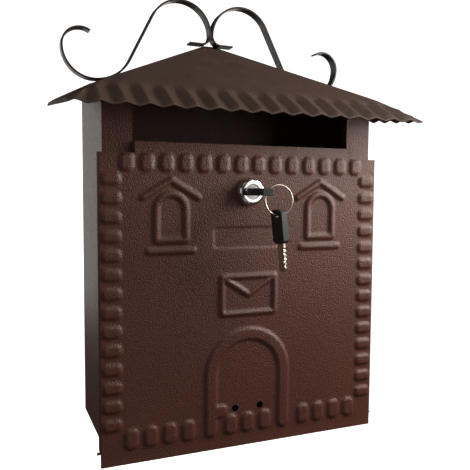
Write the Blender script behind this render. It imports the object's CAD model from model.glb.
"""Looks of a wall-mounted sheet-steel mailbox shaped like a small house.

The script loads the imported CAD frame, puts finer meshes in place of some of its nodes, gives every
piece a procedural material, and sets up the studio and the camera. The mailbox faces -y, its back
lies on the wall plane y = 0, and it is symmetrical about x = 0 apart from the lock and its keys.
"""
import math

import bmesh
import bpy
import numpy as np
from mathutils import Matrix, Vector


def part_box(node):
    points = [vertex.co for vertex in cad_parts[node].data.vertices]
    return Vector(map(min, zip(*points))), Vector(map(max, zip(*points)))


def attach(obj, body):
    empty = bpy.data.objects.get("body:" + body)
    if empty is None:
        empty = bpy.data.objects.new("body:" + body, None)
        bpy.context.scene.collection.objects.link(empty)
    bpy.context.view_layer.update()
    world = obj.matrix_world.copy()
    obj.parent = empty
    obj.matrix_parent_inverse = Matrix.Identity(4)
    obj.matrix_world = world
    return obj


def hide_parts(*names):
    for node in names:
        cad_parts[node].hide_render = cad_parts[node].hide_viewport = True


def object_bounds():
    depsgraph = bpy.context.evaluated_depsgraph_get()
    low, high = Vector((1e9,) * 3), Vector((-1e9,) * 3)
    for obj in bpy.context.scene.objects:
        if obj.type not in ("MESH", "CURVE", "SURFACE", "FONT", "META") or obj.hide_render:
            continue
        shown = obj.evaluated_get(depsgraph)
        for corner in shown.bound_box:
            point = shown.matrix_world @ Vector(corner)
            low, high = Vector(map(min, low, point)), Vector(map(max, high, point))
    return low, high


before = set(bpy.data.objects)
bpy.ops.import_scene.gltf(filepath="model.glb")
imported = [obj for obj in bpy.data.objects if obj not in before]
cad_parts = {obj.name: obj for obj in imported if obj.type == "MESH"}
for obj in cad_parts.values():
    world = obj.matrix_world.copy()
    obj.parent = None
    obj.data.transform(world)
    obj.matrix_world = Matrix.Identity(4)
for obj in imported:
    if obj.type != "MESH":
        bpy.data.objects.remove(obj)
CAD_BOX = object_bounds()

MM = 0.001


# ---------------------------------------------------------------- the frame's own places

def span(node, axis):
    """Lowest and highest coordinate of a CAD node along x, y or z."""
    low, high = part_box(node)
    index = "xyz".index(axis)
    return low[index], high[index]


DOOR_HALF = span("door_panel", "x")[1]
DOOR_LOW, TAB_TOP = span("door_panel", "z")
RELIEF_FACE, FLANGE_BACK = span("door_panel", "y")
FLANGE_LOW = span("floor_panel", "z")[0]
CASE_HALF = span("right_side_wall", "x")[1]
LOCK_Z = sum(span("lock_washer", "z")) / 2

EMBOSS = 2.0 * MM
GAUGE = 0.8 * MM
DOOR_FACE = RELIEF_FACE + EMBOSS

# The tab above the bend line fits between the case's front posts.
TAB_HEIGHT = 9.0 * MM
BEND_LINE = TAB_TOP - TAB_HEIGHT
POST_WIDTH = 23.5 * MM
TAB_CLEARANCE = 1.0 * MM
TAB_HALF = CASE_HALF - POST_WIDTH - TAB_CLEARANCE

LOCK_HOLE = 8.2 * MM
VIEW_HOLE = 3.0 * MM
VIEW_X = 11.5 * MM
VIEW_Z = DOOR_LOW + 33.0 * MM

# Beside the hinges the door sheet is a little thinner, so that it clears the open knuckles.
KNUCKLE_AIR = 0.15 * MM
KNUCKLE_TOP = span("left_case_hinge_leaf", "z")[1] + 1.0 * MM


# ---------------------------------------------------------------- mesh helpers

WELD = 1e-6
FLAT_ANGLE = 1
EDGE_ANGLE = 30
SHEET_ANGLE = 40
ROOF_ANGLE = 50


def new_object(name, verts, faces):
    """A smooth-shaded mesh object in the scene."""
    mesh = bpy.data.meshes.new(name)
    mesh.from_pydata([tuple(v) for v in verts], [], [tuple(f) for f in faces])
    mesh.validate()
    mesh.update()
    mesh.shade_smooth()
    obj = bpy.data.objects.new(name, mesh)
    bpy.context.scene.collection.objects.link(obj)
    return obj


def sharpen(obj, degrees):
    """Keep edges that turn by more than an angle crisp, and smooth the rest."""
    obj.data.shade_smooth()
    obj.data.set_sharp_from_angle(angle=math.radians(degrees))


def face_outward(obj):
    """Drop points that no face uses, and turn the faces of a closed mesh outward."""
    mesh = bmesh.new()
    mesh.from_mesh(obj.data)
    loose = [v for v in mesh.verts if not v.link_faces]
    bmesh.ops.delete(mesh, geom=loose, context="VERTS")
    bmesh.ops.recalc_face_normals(mesh, faces=mesh.faces)
    mesh.to_mesh(obj.data)
    mesh.free()


def thick_sheet(name, front, back, cells):
    """Closed sheet from two matching sets of points and their shared cells."""
    count = len(front)
    rim = {}
    for cell in cells:
        for a, b in zip(cell, cell[1:] + cell[:1]):
            if (b, a) in rim:
                del rim[(b, a)]
            else:
                rim[(a, b)] = True
    faces = list(cells)
    faces += [tuple(count + i for i in reversed(cell)) for cell in cells]
    faces += [(b, a, count + a, count + b) for a, b in rim]
    obj = new_object(name, list(front) + list(back), faces)
    face_outward(obj)
    sharpen(obj, SHEET_ANGLE)
    return obj


def softened(node, body, width, segments):
    """A CAD node's shape with its hard edges slightly rounded, in place of the node."""
    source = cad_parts[node]
    obj = bpy.data.objects.new(node + "_soft", source.data.copy())
    bpy.context.scene.collection.objects.link(obj)
    mesh = bmesh.new()
    mesh.from_mesh(obj.data)
    bmesh.ops.remove_doubles(mesh, verts=mesh.verts, dist=WELD)
    bmesh.ops.dissolve_limit(mesh, angle_limit=math.radians(FLAT_ANGLE),
                             verts=mesh.verts, edges=mesh.edges)
    mesh.to_mesh(obj.data)
    mesh.free()
    bevel = obj.modifiers.new("rounded_edges", "BEVEL")
    bevel.width = width
    bevel.segments = segments
    bevel.limit_method = "ANGLE"
    bevel.angle_limit = math.radians(EDGE_ANGLE)
    bevel.use_clamp_overlap = True
    sharpen(obj, EDGE_ANGLE)
    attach(obj, body)
    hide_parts(node)
    return obj


# ---------------------------------------------------------------- relief of the door

def rounded_box(x, z, middle_x, middle_z, half_x, half_z, radius):
    """Signed distance to a rectangle with rounded corners, below 0 inside."""
    out_x = np.abs(x - middle_x) - half_x + radius
    out_z = np.abs(z - middle_z) - half_z + radius
    outside = np.hypot(np.maximum(out_x, 0), np.maximum(out_z, 0))
    return outside + np.minimum(np.maximum(out_x, out_z), 0) - radius


def segment(x, z, start, end):
    """Distance to a straight stretch between two (x, z) points."""
    run_x, run_z = end[0] - start[0], end[1] - start[1]
    share = ((x - start[0]) * run_x + (z - start[1]) * run_z) / (run_x ** 2 + run_z ** 2)
    share = np.clip(share, 0, 1)
    return np.hypot(x - start[0] - share * run_x, z - start[1] - share * run_z)


def arch_line(x, z, middle, radius, foot, spring):
    """Distance to an arch's centreline: two legs and a half circle."""
    legs = np.minimum(segment(x, z, (middle - radius, foot), (middle - radius, spring)),
                      segment(x, z, (middle + radius, foot), (middle + radius, spring)))
    ring = np.abs(np.hypot(x - middle, z - spring) - radius)
    return np.where(z > spring, ring, legs)


def pressed(distance, height, soft):
    """Height of a pressed shape: full inside, falling smoothly to 0 across its edge."""
    share = np.clip((soft - distance) / (2 * soft), 0, 1)
    return height * share * share * (3 - 2 * share)


# Height of the pressed shapes and half the width of their soft edge.
STONE_HEIGHT, STONE_SOFT = EMBOSS * 0.85, 1.7 * MM
BAR_HEIGHT, BAR_SOFT = EMBOSS * 0.9, 1.4 * MM
PLATE_DEPTH, PLATE_SOFT = 0.8 * MM, 0.8 * MM

# Cushions: half width, half height, radius of the corners.
SIDE_STONE = (7.2 * MM, 4.3 * MM, 3.4 * MM)
TOP_STONE = (4.9 * MM, 6.6 * MM, 3.8 * MM)
PLINTH_STONE = (5.1 * MM, 8.0 * MM, 4.2 * MM)
KNOB = (7.6 * MM, 5.2 * MM, 4.8 * MM)
NAME_PLATE = (31.0 * MM, 8.6 * MM, 2.0 * MM)

SIDE_COUNT, SIDE_PITCH = 14, 14.8 * MM
SIDE_X = DOOR_HALF - 10.05 * MM
SIDE_FIRST_Z = BEND_LINE - 20.0 * MM
TOP_COUNT, TOP_PITCH = 14, 15.8 * MM
TOP_Z = BEND_LINE - 7.2 * MM
PLINTH_PITCH = 15.7 * MM
PLINTH_BESIDE_ARCH, PLINTH_BESIDE_COUNT = 53.0 * MM, 4
PLINTH_Z = DOOR_LOW + 20.0 * MM

WINDOW_X, WINDOW_HALF, WINDOW_BAR = 67.4 * MM, 12.2 * MM, 2.3 * MM
WINDOW_FOOT, WINDOW_SPRING = BEND_LINE - 68.2 * MM, BEND_LINE - 43.9 * MM
SILL_HALF, SILL_Z = 18.2 * MM, BEND_LINE - 76.8 * MM
GABLE_HALF, GABLE_LOW, GABLE_HIGH = 22.5 * MM, BEND_LINE - 34.2 * MM, BEND_LINE - 20.5 * MM
THIN_BAR = 2.2 * MM

ARCH_RADIUS, ARCH_BAR = 33.2 * MM, 4.9 * MM
ARCH_FOOT, ARCH_SPRING = DOOR_LOW + 16.5 * MM, DOOR_LOW + 63.1 * MM
KNOB_X, KNOB_Z = -26.5 * MM, VIEW_Z - 0.9 * MM

ENVELOPE_HALF, ENVELOPE_CORNER, ENVELOPE_LINE = 24.0 * MM, 1.5 * MM, 1.9 * MM
ENVELOPE_LOW, ENVELOPE_HIGH = DOOR_LOW + 114.0 * MM, DOOR_LOW + 145.0 * MM
FLAP_POINT = (0, DOOR_LOW + 129.5 * MM)

PLATE_Z = BEND_LINE - 67.3 * MM


def stones(x, z):
    """Signed distances of the side columns, the top row and the bottom row."""
    for index in range(SIDE_COUNT):
        level = SIDE_FIRST_Z - index * SIDE_PITCH
        for side in (-1, 1):
            yield rounded_box(x, z, side * SIDE_X, level, *SIDE_STONE)
    for index in range(TOP_COUNT):
        middle = (index - (TOP_COUNT - 1) / 2) * TOP_PITCH
        yield rounded_box(x, z, middle, TOP_Z, *TOP_STONE)
    middles = [side * PLINTH_PITCH for side in (-1, 0, 1)]
    middles += [side * (PLINTH_BESIDE_ARCH + PLINTH_PITCH * index)
                for side in (-1, 1) for index in range(PLINTH_BESIDE_COUNT)]
    for middle in middles:
        yield rounded_box(x, z, middle, PLINTH_Z, *PLINTH_STONE)


def bars(x, z):
    """Distances and half widths of the windows, the big arch, its knob and the envelope."""
    for side in (-1, 1):
        middle = side * WINDOW_X
        yield arch_line(x, z, middle, WINDOW_HALF, WINDOW_FOOT, WINDOW_SPRING), WINDOW_BAR
        yield segment(x, z, (middle - WINDOW_HALF, WINDOW_FOOT),
                      (middle + WINDOW_HALF, WINDOW_FOOT)), WINDOW_BAR
        yield segment(x, z, (middle - SILL_HALF, SILL_Z), (middle + SILL_HALF, SILL_Z)), THIN_BAR
        for way in (-1, 1):
            yield segment(x, z, (middle + way * GABLE_HALF, GABLE_LOW),
                          (middle, GABLE_HIGH)), THIN_BAR
    yield arch_line(x, z, 0, ARCH_RADIUS, ARCH_FOOT, ARCH_SPRING), ARCH_BAR
    yield rounded_box(x, z, KNOB_X, KNOB_Z, *KNOB), 0.0
    outline = rounded_box(x, z, 0, (ENVELOPE_LOW + ENVELOPE_HIGH) / 2, ENVELOPE_HALF,
                          (ENVELOPE_HIGH - ENVELOPE_LOW) / 2, ENVELOPE_CORNER)
    yield np.abs(outline), ENVELOPE_LINE
    for way in (-1, 1):
        yield segment(x, z, (way * ENVELOPE_HALF, ENVELOPE_HIGH), FLAP_POINT), ENVELOPE_LINE


def relief(x, z):
    """How far the pressed sheet stands in front of the door's flat face."""
    height = np.zeros_like(x)
    for distance in stones(x, z):
        height = np.maximum(height, pressed(distance, STONE_HEIGHT, STONE_SOFT))
    for distance, half in bars(x, z):
        height = np.maximum(height, pressed(distance - half, BAR_HEIGHT, BAR_SOFT))
    plate = rounded_box(x, z, 0, PLATE_Z, *NAME_PLATE)
    return height - pressed(plate, PLATE_DEPTH, PLATE_SOFT)


# ---------------------------------------------------------------- door sheet

GRID = 1.15 * MM
BEND_RADIUS = 1.6 * MM
BEND_STEPS = 5
# The strip below the flanges is bent by the first steps only.
LIP_BEND_STEPS = 2
TAB_LEAN = 0.12
LIP_HEIGHT, LIP_LEAN = 6 * MM, 0.05
# A column stop at a multiple of the view holes' place puts a column through each of them.
COLUMN_STOP = 8 * VIEW_X
# Holes: x, z, radius, and cells from the middle to the rim.
HOLES = (
    (-VIEW_X, VIEW_Z, VIEW_HOLE, 3),
    (VIEW_X, VIEW_Z, VIEW_HOLE, 3),
    (0, LOCK_Z, LOCK_HOLE, 7),
)
# Cells outside a rim over which the grid goes from round back to square.
HOLE_BLEND = 5


def spaced(stops):
    """Coordinates through the given stops, evenly spaced at about the grid's pitch between them."""
    values = [stops[0]]
    for start, end in zip(stops, stops[1:]):
        count = max(1, round((end - start) / GRID))
        values += [start + (end - start) * step / count for step in range(1, count + 1)]
    return values


def nearest(values, value):
    """Index of the entry that lies closest to a value."""
    return int(np.argmin(np.abs(np.array(values) - value)))


def round_hole(x, z, column, row, ring, radius):
    """Move the grid's points so that a square ring of cells about a point becomes a circle."""
    reach = ring + HOLE_BLEND
    centre = Vector((x[row, column], z[row, column]))
    for j in range(row - reach + 1, row + reach):
        for i in range(column - reach + 1, column + reach):
            step = max(abs(i - column), abs(j - row))
            if step == 0:
                continue
            away = Vector((x[j, i], z[j, i])) - centre
            length = radius + (step - ring) * GRID if step >= ring else radius * step / ring
            round_spot = centre + Vector((i - column, j - row)).normalized() * length
            blend = min(1, max(0, (step - ring) / (reach - ring)))
            x[j, i], z[j, i] = round_spot.lerp(centre + away, blend)


def door_cells(columns, rows, tabs, tab_row, holes):
    """Cells of the flat sheet, without its holes and the corners beside the tab."""
    cells = []
    for j in range(rows - 1):
        for i in range(columns - 1):
            in_hole = any(max(abs(i + 0.5 - c), abs(j + 0.5 - r)) < ring for c, r, ring in holes)
            beside_tab = j >= tab_row and not tabs[0] <= i < tabs[1]
            if not in_hole and not beside_tab:
                a = j * columns + i
                cells.append((a, a + 1, a + 1 + columns, a + columns))
    return cells


def add_flanges(front, back, cells, up, columns, flange_row, tab_row):
    """Rounded bends and side flanges, joined to the outer columns of the flat sheet."""
    turns = [math.radians(90 / BEND_STEPS * step) for step in range(1, BEND_STEPS + 1)]
    centre_x = DOOR_HALF - BEND_RADIUS
    centre_y = DOOR_FACE + BEND_RADIUS
    inner = BEND_RADIUS - GAUGE
    profile = [((centre_x + BEND_RADIUS * math.sin(t), centre_y - BEND_RADIUS * math.cos(t)),
                (centre_x + inner * math.sin(t), centre_y - inner * math.cos(t))) for t in turns]
    profile.append(((DOOR_HALF, FLANGE_BACK), (DOOR_HALF - GAUGE, FLANGE_BACK)))
    for side, column in ((-1, 0), (1, columns - 1)):
        previous = [row * columns + column for row in range(tab_row + 1)]
        for depth, (outer, inside) in enumerate(profile):
            start = len(front)
            for level in up[:tab_row + 1]:
                front.append((side * outer[0], outer[1], level))
                back.append((side * inside[0], inside[1], level))
            current = [start + row for row in range(tab_row + 1)]
            first_row = 0 if depth < LIP_BEND_STEPS else flange_row
            for row in range(first_row, tab_row):
                quad = (previous[row], current[row], current[row + 1], previous[row + 1])
                cells.append(quad if side > 0 else tuple(reversed(quad)))
            previous = current


def make_door():
    """The door's sheet with its relief, holes, tab and side flanges."""
    flat = DOOR_HALF - BEND_RADIUS
    across = spaced([-flat, -TAB_HALF, -COLUMN_STOP, 0, COLUMN_STOP, TAB_HALF, flat])
    up = spaced([DOOR_LOW, FLANGE_LOW, VIEW_Z, LOCK_Z, BEND_LINE, TAB_TOP])
    x, z = np.meshgrid(np.array(across), np.array(up))
    rows, columns = x.shape
    holes = []
    for hole_x, hole_z, radius, ring in HOLES:
        column, row = nearest(across, hole_x), nearest(up, hole_z)
        round_hole(x, z, column, row, ring, radius)
        holes.append((column, row, ring))
    y = DOOR_FACE - relief(x, z)
    y = y + np.clip(z - BEND_LINE, 0, None) * TAB_LEAN
    y = y - np.clip(DOOR_LOW + LIP_HEIGHT - z, 0, None) * LIP_LEAN

    gauge = np.where(z < KNUCKLE_TOP, GAUGE - KNUCKLE_AIR, GAUGE)
    spots = [(j, i) for j in range(rows) for i in range(columns)]
    front = [(x[j, i], y[j, i], z[j, i]) for j, i in spots]
    back = [(x[j, i], y[j, i] + gauge[j, i], z[j, i]) for j, i in spots]
    tabs = nearest(across, -TAB_HALF), nearest(across, TAB_HALF)
    tab_row = nearest(up, BEND_LINE)
    cells = door_cells(columns, rows, tabs, tab_row, holes)
    add_flanges(front, back, cells, up, columns, nearest(up, FLANGE_LOW), tab_row)
    door = thick_sheet("door_sheet", front, back, cells)
    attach(door, "door")
    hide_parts("door_panel")
    return door


# ---------------------------------------------------------------- roof

ROOF_GAUGE = 1.0 * MM
ROOF_GRID = 0.86 * MM
BORDER_ROWS = 26
SLOPE_ROWS = 16

# The border climbs steeply from the eave to the fold, and the slope climbs from there to the ridge.
BORDER_RUN = 29.0 * MM
BORDER_RISE = 20.5 * MM
EAVE_CLEAR = 1.4 * MM
EAVE_REAR_RISE = 14.0 * MM
FOLD_REAR_RISE = 8.2 * MM
RIDGE_HALF = 5.0 * MM
RIDGE_DEPTH = 2.0 * MM

# Pleats: they lean and fan out towards the eave, have clipped tops, and run out at the fold.
FLUTE_PITCH = 17.2 * MM
FLUTE_HEIGHT = 2.1 * MM
FLUTE_SKEW = 5.0 * MM
FLUTE_FAN = 0.027
FLUTE_CLIP = 0.88
FLUTE_AT_EAVE = 0.55
FLUTE_GATHER = 0.15
FLUTE_FADE = 0.32
# Columns beside a hip over which the pleats fade out.
HIP_COLUMNS = 5

SEAM_WELD = 0.02 * MM
SMOOTH_PASSES = 6
SMOOTH_BELOW_FOLD = 6 * MM


def roof_corners():
    """(eave, fold, ridge) corners of the upper surface by side and depth, in the CAD node's box."""
    low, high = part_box("roof_sheet")
    half, front, apex = high.x, low.y, high.z
    eave = low.z + ROOF_GAUGE + EAVE_CLEAR
    fold_half, fold = half - BORDER_RUN, eave + BORDER_RISE
    corners = {}
    for side in (-1, 1):
        corners[side] = {
            "front": (Vector((side * half, front, eave)),
                      Vector((side * fold_half, front + BORDER_RUN, fold)),
                      Vector((side * RIDGE_HALF, -RIDGE_DEPTH, apex))),
            "rear": (Vector((side * half, 0, eave + EAVE_REAR_RISE)),
                     Vector((side * fold_half, 0, fold + FOLD_REAR_RISE)),
                     Vector((side * RIDGE_HALF, 0, apex))),
        }
    return corners


def flute(along, climb):
    """Height of the pleats at a distance along the eave and a share of the border's climb."""
    down = 1 - climb
    turn = (along - FLUTE_SKEW * down) / (1 + FLUTE_FAN * down) / FLUTE_PITCH
    zigzag = 1 - 4 * abs(turn - math.floor(turn) - 0.5)
    zigzag = max(-FLUTE_CLIP, min(FLUTE_CLIP, zigzag))
    gather = FLUTE_AT_EAVE + (1 - FLUTE_AT_EAVE) * min(1, climb / FLUTE_GATHER)
    fade = min(1, max(0, down / FLUTE_FADE))
    return FLUTE_HEIGHT * zigzag * gather * fade * fade * (3 - 2 * fade)


def slope(first, last, hips):
    """Points and cells of one side of the roof, between two (eave, fold, ridge) corners.

    hips says for each end whether the side meets another one there, in a hip without pleats.
    """
    eaves, folds, ridges = zip(first, last)
    columns = round((eaves[1] - eaves[0]).length / ROOF_GRID)
    middle = (eaves[0] + eaves[1]) / 2
    direction = (eaves[1] - eaves[0]).normalized()
    points = []
    for row in range(BORDER_ROWS + SLOPE_ROWS + 1):
        for column in range(columns + 1):
            share = column / columns
            fold = folds[0].lerp(folds[1], share)
            if row <= BORDER_ROWS:
                climb = row / BORDER_ROWS
                spot = eaves[0].lerp(eaves[1], share).lerp(fold, climb)
                from_first = column if hips[0] else columns
                from_last = columns - column if hips[1] else columns
                ends = min(1, from_first / HIP_COLUMNS, from_last / HIP_COLUMNS)
                lift = ends * flute((spot - middle).dot(direction), climb)
                spot = spot + Vector((0, 0, lift))
            else:
                climb = (row - BORDER_ROWS) / SLOPE_ROWS
                spot = fold.lerp(ridges[0].lerp(ridges[1], share), climb)
            points.append(spot)
    cells = []
    for row in range(BORDER_ROWS + SLOPE_ROWS):
        for column in range(columns):
            a = row * (columns + 1) + column
            cells.append((a, a + 1, a + columns + 2, a + columns + 1))
    return points, cells


def make_roof():
    """The roof's sheet: front, left and right sides and a short ridge, open at the wall."""
    corners = roof_corners()
    left, right = corners[-1], corners[1]
    parts = [
        slope(left["front"], right["front"], (True, True)),
        slope(left["rear"], left["front"], (False, True)),
        slope(right["front"], right["rear"], (True, False)),
    ]
    mesh = bmesh.new()
    for points, cells in parts:
        verts = [mesh.verts.new(point) for point in points]
        for cell in cells:
            mesh.faces.new([verts[i] for i in cell])
    ridge = [left["front"][2], right["front"][2], right["rear"][2], left["rear"][2]]
    mesh.faces.new([mesh.verts.new(point) for point in ridge])
    bmesh.ops.remove_doubles(mesh, verts=mesh.verts, dist=SEAM_WELD)
    soft = [v for v in mesh.verts if not v.is_boundary]
    smooth_from = left["front"][1].z - SMOOTH_BELOW_FOLD
    for _ in range(SMOOTH_PASSES):
        bmesh.ops.smooth_vert(mesh, verts=[v for v in soft if v.co.z > smooth_from],
                              factor=0.5, use_axis_x=True, use_axis_y=True, use_axis_z=True)
    bmesh.ops.recalc_face_normals(mesh, faces=mesh.faces)
    data = bpy.data.meshes.new("roof_skin")
    mesh.to_mesh(data)
    mesh.free()
    roof = bpy.data.objects.new("roof_skin", data)
    bpy.context.scene.collection.objects.link(roof)
    solid = roof.modifiers.new("sheet", "SOLIDIFY")
    solid.thickness = ROOF_GAUGE
    solid.offset = -1
    sharpen(roof, ROOF_ANGLE)
    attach(roof, "case")
    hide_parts("roof_sheet")
    return roof


# ---------------------------------------------------------------- materials

# Sockets of the Mix node, which are told apart by number: first, second and result.
MIX_VECTOR = (4, 5, 1)
MIX_COLOUR = (6, 7, 2)


class Look:
    """A new material and the nodes that make it up, all placed by object coordinates."""

    def __init__(self, name):
        self.material = bpy.data.materials.new(name)
        self.material.use_nodes = True
        self.nodes = self.material.node_tree.nodes
        self.links = self.material.node_tree.links
        self.shader = self.nodes["Principled BSDF"]
        self.place = self.nodes.new("ShaderNodeTexCoord").outputs["Object"]

    def feed(self, socket, value):
        """Link a value to one of the shader's sockets."""
        self.links.new(value, self.shader.inputs[socket])

    def noise(self, scale, detail=2.0, roughness=0.5, place=None):
        """Grey noise."""
        texture = self.nodes.new("ShaderNodeTexNoise")
        texture.inputs["Scale"].default_value = scale
        texture.inputs["Detail"].default_value = detail
        texture.inputs["Roughness"].default_value = roughness
        self.links.new(self.place if place is None else place, texture.inputs["Vector"])
        return texture.outputs["Fac"]

    def ramp(self, value, *stops):
        """Colours at positions along a value."""
        item = self.nodes.new("ShaderNodeValToRGB")
        elements = item.color_ramp.elements
        for element, (position, colour) in zip(elements, stops):
            element.position = position
            element.color = (*colour, 1)
        self.links.new(value, item.inputs["Fac"])
        return item.outputs["Color"]

    def mix(self, data_type, sockets, share, first, second):
        """Mix of two vectors or two colours."""
        item = self.nodes.new("ShaderNodeMix")
        item.data_type = data_type
        item.inputs[0].default_value = share
        self.links.new(first, item.inputs[sockets[0]])
        self.links.new(second, item.inputs[sockets[1]])
        return item, item.outputs[sockets[2]]

    def gloss(self, value, low, high, high_at=0.7):
        """Roughness that goes from low to high with a value."""
        self.feed("Roughness", self.ramp(value, (0.3, (low,) * 3), (high_at, (high,) * 3)))

    def bump(self, height, strength, distance):
        """Surface relief too fine for the mesh."""
        item = self.nodes.new("ShaderNodeBump")
        item.inputs["Strength"].default_value = strength
        item.inputs["Distance"].default_value = distance
        self.links.new(height, item.inputs["Height"])
        self.feed("Normal", item.outputs["Normal"])


def hammertone(name, dark, light, pebble_size, depth, roughness):
    """Hammer-finish paint: fine rounded pebbles, darker between them, and a slow change of tone."""
    look = Look(name)
    warp = look.nodes.new("ShaderNodeTexNoise")
    warp.inputs["Scale"].default_value = 0.6 / pebble_size
    look.links.new(look.place, warp.inputs["Vector"])
    warped = look.mix("VECTOR", MIX_VECTOR, 0.0006, look.place, warp.outputs["Color"])[1]
    voronoi = look.nodes.new("ShaderNodeTexVoronoi")
    voronoi.feature = "SMOOTH_F1"
    voronoi.inputs["Scale"].default_value = 1 / pebble_size
    voronoi.inputs["Smoothness"].default_value = 0.6
    look.links.new(warped, voronoi.inputs["Vector"])
    pebbles = voronoi.outputs["Distance"]
    tone = look.ramp(pebbles, (0.1, light), (0.7, dark))
    slow = look.ramp(look.noise(9.0, 1.0), (0.3, (0.9, 0.88, 0.87)), (0.7, (1.08, 1.06, 1.05)))
    item, colour = look.mix("RGBA", MIX_COLOUR, 1.0, tone, slow)
    item.blend_type = "MULTIPLY"
    look.feed("Base Color", colour)
    look.gloss(look.noise(900.0), roughness - 0.08, roughness + 0.1)
    look.bump(look.ramp(pebbles, (0.0, (1, 1, 1)), (0.9, (0, 0, 0))), 0.8, depth)
    return look.material


def smooth_paint(name, dark, light, roughness, grain):
    """Plain sprayed paint with a slightly cloudy tone and an orange-peel grain."""
    look = Look(name)
    look.feed("Base Color", look.ramp(look.noise(60.0, 5.0, 0.65), (0.3, dark), (0.75, light)))
    look.gloss(look.noise(220.0, 3.0), roughness - 0.06, roughness + 0.08)
    look.bump(look.noise(650.0), 0.8, grain)
    look.shader.inputs["Specular IOR Level"].default_value = 0.3
    return look.material


def metal(name, colour, worn, roughness, scale=(400.0, 400.0, 400.0), strength=0.12):
    """Bare or plated metal: cloudy colour, and a grain in gloss and relief.

    Unequal scales draw the grain out along the axis with the smallest one.
    """
    look = Look(name)
    mapping = look.nodes.new("ShaderNodeMapping")
    mapping.inputs["Scale"].default_value = scale
    look.links.new(look.place, mapping.inputs["Vector"])
    grain = look.noise(1.0, 4.0, 0.7, mapping.outputs["Vector"])
    look.feed("Base Color", look.ramp(look.noise(180.0, 3.0), (0.35, colour), (0.8, worn)))
    look.gloss(grain, roughness * 0.7, roughness * 1.5, 0.75)
    look.bump(grain, strength, 0.03 * MM)
    look.shader.inputs["Metallic"].default_value = 1.0
    return look.material


def plastic(name, colour, light, roughness):
    """Moulded plastic with a fine spark-eroded grain."""
    look = Look(name)
    look.feed("Base Color", look.ramp(look.noise(300.0, 3.0), (0.3, colour), (0.8, light)))
    look.gloss(look.noise(1500.0), roughness - 0.05, roughness + 0.1)
    look.bump(look.noise(2200.0), 0.25, 0.05 * MM)
    return look.material


def finish_with(material, *objects):
    """Give objects one material in place of any they have."""
    for obj in objects:
        obj.data.materials.clear()
        obj.data.materials.append(material)


# ---------------------------------------------------------------- lock

LATHE_STEPS = 96
ARC_STEPS = 5
RIM_RADIUS = 12.0 * MM
RIM_FACE_RADIUS = 10.4 * MM
# Share of the rim's height at which its side starts to lean in.
RIM_SHOULDER = 0.33
BARREL_RADIUS = 8.0 * MM
PLUG_CLEARANCE = 0.05 * MM


def lathe(name, profile, origin, body, replaced):
    """Turned piece about an axis along +Y: (radius, y) pairs of a closed section."""
    verts = []
    faces = []
    count = len(profile)
    for step in range(LATHE_STEPS):
        angle = 2 * math.pi * step / LATHE_STEPS
        for radius, along in profile:
            verts.append((origin.x + radius * math.cos(angle), origin.y + along,
                          origin.z + radius * math.sin(angle)))
    for step in range(LATHE_STEPS):
        following = (step + 1) % LATHE_STEPS
        for index in range(count):
            after = (index + 1) % count
            faces.append((step * count + index, following * count + index,
                          following * count + after, step * count + after))
    obj = new_object(name, verts, faces)
    face_outward(obj)
    sharpen(obj, EDGE_ANGLE)
    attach(obj, body)
    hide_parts(replaced)
    return obj


def rounded(profile, corner, radius):
    """Replace one corner of a profile by a small arc."""
    before, at, after = (Vector(profile[(corner + k) % len(profile)]) for k in (-1, 0, 1))
    start = at + (before - at).normalized() * radius
    end = at + (after - at).normalized() * radius
    arc = []
    for step in range(ARC_STEPS + 1):
        share = step / ARC_STEPS
        arc.append(tuple(start.lerp(at, share).lerp(at.lerp(end, share), share)))
    return profile[:corner] + arc + profile[corner + 1:]


def make_lock_housing():
    """The lock's rim in front of the door and its barrel behind it, with the plug's bore."""
    low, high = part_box("lock_housing")
    plug_low, plug_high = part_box("lock_plug")
    bore = (plug_high.x - plug_low.x) / 2 + PLUG_CLEARANCE
    origin = Vector((0, DOOR_FACE, LOCK_Z))
    front = low.y - DOOR_FACE
    rear = high.y - DOOR_FACE
    profile = [(bore, front), (RIM_FACE_RADIUS, front), (RIM_RADIUS, front * RIM_SHOULDER),
               (RIM_RADIUS, 0), (BARREL_RADIUS, 0), (BARREL_RADIUS, rear), (bore, rear)]
    # From the last corner to the first, because each arc adds points after its own corner.
    for corner, radius in ((2, 1.2 * MM), (1, 1.6 * MM), (0, 0.4 * MM)):
        profile = rounded(profile, corner, radius)
    return lathe("lock_rim", profile, origin, "door", "lock_housing")


# ---------------------------------------------------------------- camera, light, floor

CAMERA_SPOT = (-0.204, -0.5591, 0.066)
CAMERA_YAW, CAMERA_PITCH, CAMERA_ROLL = 22.69, 4.17, 0.39
CAMERA_LENS, CAMERA_SENSOR, CAMERA_NEAR = 46.07, 36.0, 0.01

WARM_WHITE = (1.0, 0.965, 0.91)
# Area lights: name, place, target, width, height, power in watts.
LIGHTS = (
    ("key", (0.42, -0.34, 0.33), (0.05, -0.1, -0.02), 0.14, 0.14, 1.6),
    ("side_key", (0.5, -0.28, 0.14), (0.05, -0.1, -0.02), 0.16, 0.16, 1.6),
    ("front", (0.35, -0.47, 0.14), (0.08, -0.1, 0.06), 0.4, 0.26, 0.7),
    ("top", (0.34, -0.33, 0.85), (0, -0.08, 0.0), 0.5, 0.3, 2.0),
    ("left_side", (-1.0, 0.0, 0.25), (-0.12, -0.06, 0.0), 0.6, 0.6, 1.6),
    ("rear", (0.75, 1.1, 0.35), (0, 0, 0), 0.7, 0.7, 4.0),
    ("side_panel", (-0.32, 1.0, 0.12), (-0.12, -0.05, 0.05), 0.5, 0.75, 1.45),
    ("left_glint", (-0.55, -0.72, 0.1), (0, -0.12, 0.06), 0.3, 0.35, 0.2),
    ("low_glint", (-0.15, -0.65, -0.4), (0, -0.12, 0.06), 0.35, 0.3, 0.12),
    ("high_glint", (-0.25, -0.6, 0.55), (0, -0.12, 0.06), 0.3, 0.3, 0.15),
)
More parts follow.
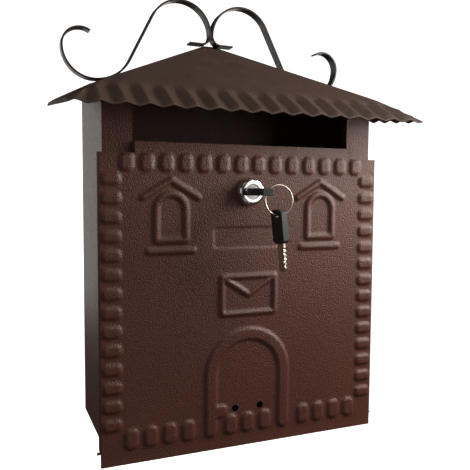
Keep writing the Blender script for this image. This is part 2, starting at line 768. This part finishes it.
WORLD_STRENGTH = 0.04
WHITE = (1.0, 1.0, 1.0, 1)

# The paper sweep, in metres: half width, ends of its level part, radius of its bend, top.
SWEEP_HALF, SWEEP_FRONT, SWEEP_REAR, SWEEP_BEND, SWEEP_TOP = 9.0, -6.0, 3.0, 2.0, 7.0
SWEEP_BELOW = 0.45
SWEEP_BEND_STEPS = 12
PAPER_SUN_SPOT, PAPER_SUN_POWER = (0, -4.0, 4.0), 5.6


def make_camera():
    """Camera at the photograph's viewing angle: left of the mailbox, a little above its middle."""
    data = bpy.data.cameras.new("camera")
    data.sensor_width = CAMERA_SENSOR
    data.lens = CAMERA_LENS
    data.clip_start = CAMERA_NEAR
    camera = bpy.data.objects.new("camera", data)
    bpy.context.scene.collection.objects.link(camera)
    yaw, pitch, roll = (math.radians(turn) for turn in (CAMERA_YAW, CAMERA_PITCH, CAMERA_ROLL))
    forward = Vector((math.sin(yaw) * math.cos(pitch), math.cos(yaw) * math.cos(pitch),
                      -math.sin(pitch)))
    level = Vector((math.cos(yaw), -math.sin(yaw), 0))
    upward = level.cross(forward)
    right = level * math.cos(roll) + upward * math.sin(roll)
    up = right.cross(forward)
    rotation = Matrix((right, up, -forward)).transposed().to_4x4()
    camera.matrix_world = Matrix.Translation(Vector(CAMERA_SPOT)) @ rotation
    bpy.context.scene.camera = camera


def new_light(name, kind, spot, target, power):
    """A light that points at a target and that the camera doesn't see."""
    data = bpy.data.lights.new(name, kind)
    data.energy = power
    light = bpy.data.objects.new(name, data)
    bpy.context.scene.collection.objects.link(light)
    light.visible_camera = False
    light.location = spot
    light.rotation_mode = "QUATERNION"
    light.rotation_quaternion = (Vector(target) - Vector(spot)).to_track_quat("-Z", "Y")
    return light


def area_light(name, spot, target, width, height, power):
    """A rectangular warm white light."""
    light = new_light(name, "AREA", spot, target, power)
    light.data.shape = "RECTANGLE"
    light.data.size = width
    light.data.size_y = height
    light.data.color = WARM_WHITE


def make_world():
    """White background for the camera, and an even dim light for everything else."""
    world = bpy.data.worlds.new("studio")
    bpy.context.scene.world = world
    world.use_nodes = True
    nodes = world.node_tree.nodes
    links = world.node_tree.links
    dim = nodes["Background"]
    dim.inputs["Color"].default_value = WHITE
    dim.inputs["Strength"].default_value = WORLD_STRENGTH
    white = nodes.new("ShaderNodeBackground")
    white.inputs["Color"].default_value = WHITE
    ray = nodes.new("ShaderNodeLightPath")
    mix = nodes.new("ShaderNodeMixShader")
    links.new(ray.outputs["Is Camera Ray"], mix.inputs["Fac"])
    links.new(dim.outputs["Background"], mix.inputs[1])
    links.new(white.outputs["Background"], mix.inputs[2])
    links.new(mix.outputs["Shader"], nodes["World Output"].inputs["Surface"])


def make_backdrop():
    """Pale paper sweep: a floor that curves up far behind the mailbox, with a sun of its own."""
    ground = CAD_BOX[0].z - SWEEP_BELOW
    turns = [math.radians(90 / SWEEP_BEND_STEPS * step) for step in range(1, SWEEP_BEND_STEPS + 1)]
    profile = [(SWEEP_FRONT, 0.0), (SWEEP_REAR, 0.0)]
    profile += [(SWEEP_REAR + SWEEP_BEND * math.sin(t), SWEEP_BEND - SWEEP_BEND * math.cos(t))
                for t in turns]
    profile.append((SWEEP_REAR + SWEEP_BEND, SWEEP_TOP))
    verts = [(side * SWEEP_HALF, along, ground + up) for along, up in profile for side in (-1, 1)]
    faces = [(2 * k, 2 * k + 1, 2 * k + 3, 2 * k + 2) for k in range(len(profile) - 1)]
    sweep = new_object("paper_sweep", verts, faces)
    look = Look("sweep_paper")
    look.feed("Base Color", look.ramp(look.noise(3.0), (0.3, (0.9,) * 3), (0.7, (0.93,) * 3)))
    look.shader.inputs["Roughness"].default_value = 0.9
    finish_with(look.material, sweep)
    sweep.visible_glossy = False
    sweep.visible_diffuse = False
    paper_only = bpy.data.collections.new("paper_only")
    paper_only.objects.link(sweep)
    paper_light = new_light("paper_light", "SUN", PAPER_SUN_SPOT, (0, 0, 0), PAPER_SUN_POWER)
    paper_light.data.use_shadow = False
    paper_light.light_linking.receiver_collection = paper_only


def make_studio():
    make_world()
    make_backdrop()
    for light in LIGHTS:
        area_light(*light)


# ---------------------------------------------------------------- assembly

# Hammer finish: size of a pebble, depth of its relief, roughness.
HAMMER = (1.0 * MM, 0.36 * MM, 0.42)

CASE_NODES = ("back_panel", "left_side_wall", "right_side_wall", "floor_panel", "latch_rail",
              "left_case_hinge_leaf", "left_door_hinge_leaf",
              "right_case_hinge_leaf", "right_door_hinge_leaf")
PLATED_NODES = ("lock_washer", "lock_nut", "lock_cam", "cam_screw")
NICKEL_NODES = ("lock_key_blade", "spare_key_blade", "key_ring")

SCROLL_EDGE, SCROLL_EDGE_STEPS = 0.35 * MM, 2
HEAD_EDGE, HEAD_EDGE_STEPS = 0.8 * MM, 3


def cad(*names):
    """CAD nodes that carry over as they are."""
    return [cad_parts[name] for name in names]


def make_front():
    """The door's sheet, in a hammer finish slightly darker than the case's."""
    paint = hammertone("hammertone_door", (0.09, 0.028, 0.018), (0.122, 0.04, 0.027), *HAMMER)
    finish_with(paint, make_door())


def make_case():
    """Roof, walls, hinges, rod and scrolls."""
    case_paint = hammertone("hammertone_case", (0.092, 0.030, 0.020), (0.125, 0.042, 0.029),
                            *HAMMER)
    roof_paint = smooth_paint("roof_paint", (0.068, 0.040, 0.030), (0.092, 0.056, 0.043),
                              0.42, 0.3 * MM)
    scroll_paint = smooth_paint("scroll_paint", (0.034, 0.024, 0.022), (0.06, 0.045, 0.042),
                                0.36, 0.06 * MM)
    rod = metal("drawn_wire", (0.5, 0.48, 0.46), (0.35, 0.3, 0.27), 0.32, (30.0, 900.0, 900.0))
    finish_with(case_paint, *cad(*CASE_NODES))
    finish_with(roof_paint, make_roof())
    finish_with(rod, *cad("hinge_rod"))
    for side in ("left", "right"):
        scroll = softened(side + "_scroll", "case", SCROLL_EDGE, SCROLL_EDGE_STEPS)
        finish_with(scroll_paint, scroll)


def make_lock():
    """Rim and barrel, plug, and the plated pieces behind the door."""
    chrome = metal("chrome", (0.82, 0.82, 0.83), (0.7, 0.69, 0.68), 0.12)
    plug_face = metal("plug_face", (0.5, 0.49, 0.49), (0.3, 0.29, 0.29), 0.27,
                      (60.0, 60.0, 900.0), 0.3)
    plated = metal("zinc_plate", (0.62, 0.62, 0.6), (0.5, 0.49, 0.46), 0.3)
    finish_with(chrome, make_lock_housing())
    finish_with(plug_face, *cad("lock_plug"))
    finish_with(plated, *cad(*PLATED_NODES))


def make_keys():
    """Both keys and their ring."""
    nickel = metal("key_nickel", (0.78, 0.72, 0.62), (0.62, 0.53, 0.4), 0.3)
    black = plastic("black_plastic", (0.012, 0.011, 0.013), (0.022, 0.02, 0.022), 0.35)
    finish_with(nickel, *cad(*NICKEL_NODES))
    for node, body in (("lock_key_head", "lock_key"), ("spare_key_head", "spare_key")):
        head = softened(node, body, HEAD_EDGE, HEAD_EDGE_STEPS)
        finish_with(black, head)


bpy.context.scene.view_settings.view_transform = "Standard"
make_front()
make_case()
make_lock()
make_keys()
make_studio()
make_camera()
